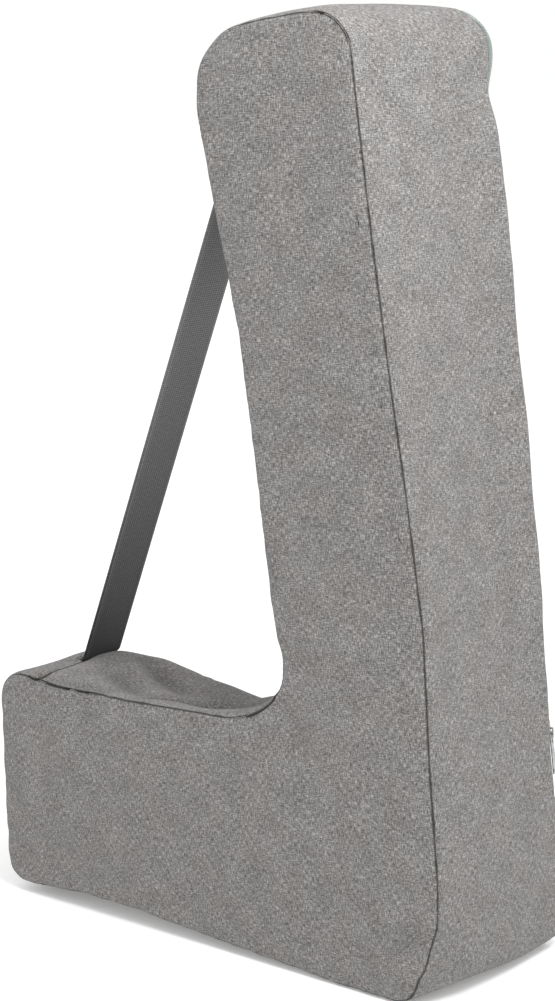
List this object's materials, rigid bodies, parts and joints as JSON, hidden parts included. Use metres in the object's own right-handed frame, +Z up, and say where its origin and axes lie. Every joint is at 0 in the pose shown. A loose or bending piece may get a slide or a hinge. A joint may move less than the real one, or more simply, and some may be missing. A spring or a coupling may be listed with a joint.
{
  "type": "padded L-shaped back support",
  "caption": "Padded L-shaped back support in a zipped grey fabric cover, with a webbing strap from the arm's tip to the top of the upright.",
  "frame": {"origin": "centre of the bounding box's bottom face, on the plane the base lies on", "axes": "+Z up; +X out of the flat back, so the arm runs towards -X; +Y towards the side that carries the zip"},
  "size_m": [0.375, 0.137, 0.6008],
  "materials": {
    "cover": "matte",
    "foam": "matte",
    "thread": "matte",
    "webbing": "satin",
    "webbing_thread": "matte",
    "zip_tape": "matte",
    "zip_coil": "satin",
    "zip_metal": "satin"
  },
  "bodies": {
    "cushion": {"side_panel_near": "cover", "side_panel_far": "cover", "back_gusset": "cover", "front_gusset": "cover", "end_gusset": "cover", "base_panel": "cover", "foam_upright": "foam", "foam_arm": "foam", "near_seam_thread": "thread", "far_seam_thread": "thread", "top_seam_thread": "thread", "arm_seam_thread": "thread", "toe_seam_thread": "thread", "heel_seam_thread": "thread", "strap": "webbing", "strap_lower_bartack": "webbing_thread", "strap_upper_bartack": "webbing_thread", "zip_tape_back": "zip_tape", "zip_tape_side": "zip_tape", "zip_coil_back": "zip_coil", "zip_coil_side": "zip_coil", "zip_closing_stops": "zip_metal", "zip_opening_stop": "zip_metal"},
    "slider": {"zip_slider": "zip_metal"},
    "pull": {"zip_pull": "zip_metal"}
  },
  "joints": [
    {"name": "zip_slide", "type": "slide", "parent": "cushion", "child": "slider", "axis": [-0.1071, 0, 0.9942], "range_m": [0, 0.4]},
    {"name": "pull_hinge", "type": "hinge", "parent": "slider", "child": "pull", "pos_m": [0.18202, 0.06251, 0.14598], "axis": [0.3401, -0.9397, 0.0366], "range_deg": [0, 170]}
  ]
}
